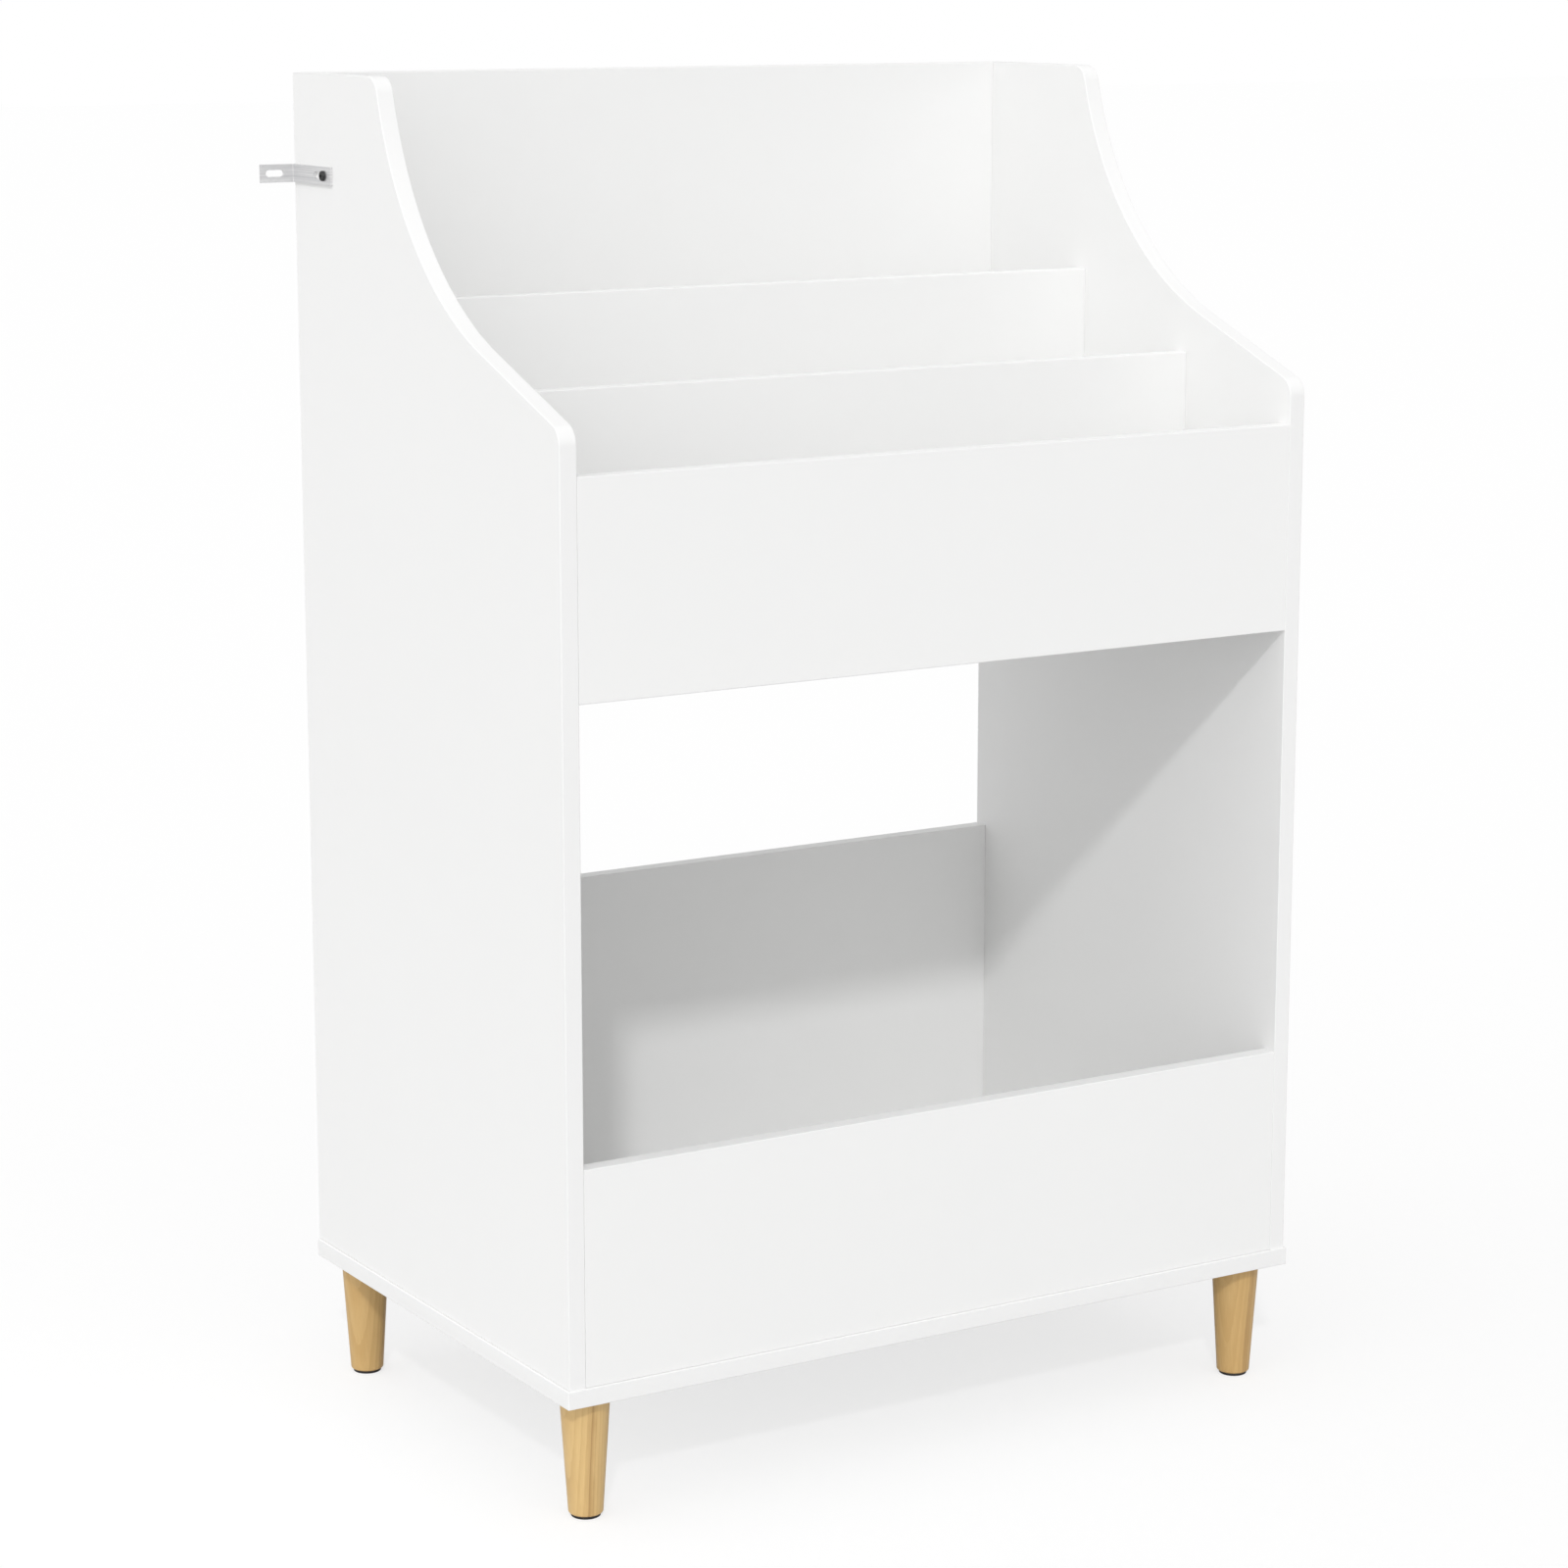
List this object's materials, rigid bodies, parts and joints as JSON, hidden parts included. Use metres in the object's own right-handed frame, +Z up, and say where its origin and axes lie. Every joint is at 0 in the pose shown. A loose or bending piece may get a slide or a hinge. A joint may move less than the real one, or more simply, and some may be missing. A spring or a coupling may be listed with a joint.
{
  "type": "media shelf",
  "caption": "White board shelf for record sleeves with stepped display bins above an open bay, swept side panels, tapered wooden legs and slotted wall brackets.",
  "frame": {"origin": "on the floor, under the middle of the part's bounding box", "axes": "+Z up, front faces -Y, +X to the right of someone facing the front"},
  "size_m": [0.77, 0.462, 1.1255],
  "materials": {
    "white_board": "white melamine-faced board, satin",
    "pine": "clear-varnished pale wood, satin",
    "glide_plastic": "dark moulded plastic",
    "beech": "bare fluted dowel",
    "zinc_steel": "zinc plated",
    "black_steel": "blackened"
  },
  "bodies": {
    "root": {"base_panel": "white_board", "left_side_panel": "white_board", "right_side_panel": "white_board", "lower_front_panel": "white_board", "lower_back_panel": "white_board", "upper_front_panel": "white_board", "middle_divider": "white_board", "rear_divider": "white_board", "upper_back_panel": "white_board", "front_bin_floor": "white_board", "middle_bin_floor": "white_board", "rear_bin_floor": "white_board", "front_left_leg": "pine", "front_right_leg": "pine", "rear_left_leg": "pine", "rear_right_leg": "pine", "front_left_glide": "glide_plastic", "front_right_glide": "glide_plastic", "rear_left_glide": "glide_plastic", "rear_right_glide": "glide_plastic", "dowels": "beech", "cam_bolts": "zinc_steel", "cam_locks": "zinc_steel", "base_screws": "zinc_steel", "floor_screws": "zinc_steel", "leg_bolts": "zinc_steel", "leg_inserts": "zinc_steel", "left_wall_bracket": "zinc_steel", "right_wall_bracket": "zinc_steel", "bracket_screws": "black_steel"}
  },
  "joints": []
}
